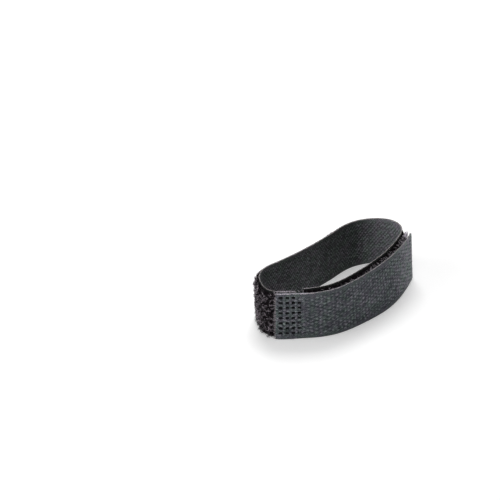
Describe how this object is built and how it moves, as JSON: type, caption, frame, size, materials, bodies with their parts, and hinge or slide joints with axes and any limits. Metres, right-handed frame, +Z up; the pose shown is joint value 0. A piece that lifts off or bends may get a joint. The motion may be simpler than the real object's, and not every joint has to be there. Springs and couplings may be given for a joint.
{
  "type": "hook and loop cable tie",
  "caption": "Fabric cable tie closed into a loop and standing on its edge: a woven tape with pile outside, and a hook tape welded to its end by rows of pits and pressed onto the pile.",
  "frame": {"origin": "middle of the footprint, on the surface that the lower edges of the tapes stand on", "axes": "+X along the loop towards the hook tape's free end, +Z up across the tapes' width, -Y the side with the weld and the hook tape"},
  "size_m": [0.0674, 0.0316, 0.019],
  "materials": {
    "loop_pile": "napped matte nylon pile on a woven nylon ground",
    "hook_weave": "woven nylon with a dull sheen"
  },
  "bodies": {
    "root": {"loop_tape": "loop_pile", "hook_tape": "hook_weave"}
  },
  "joints": []
}
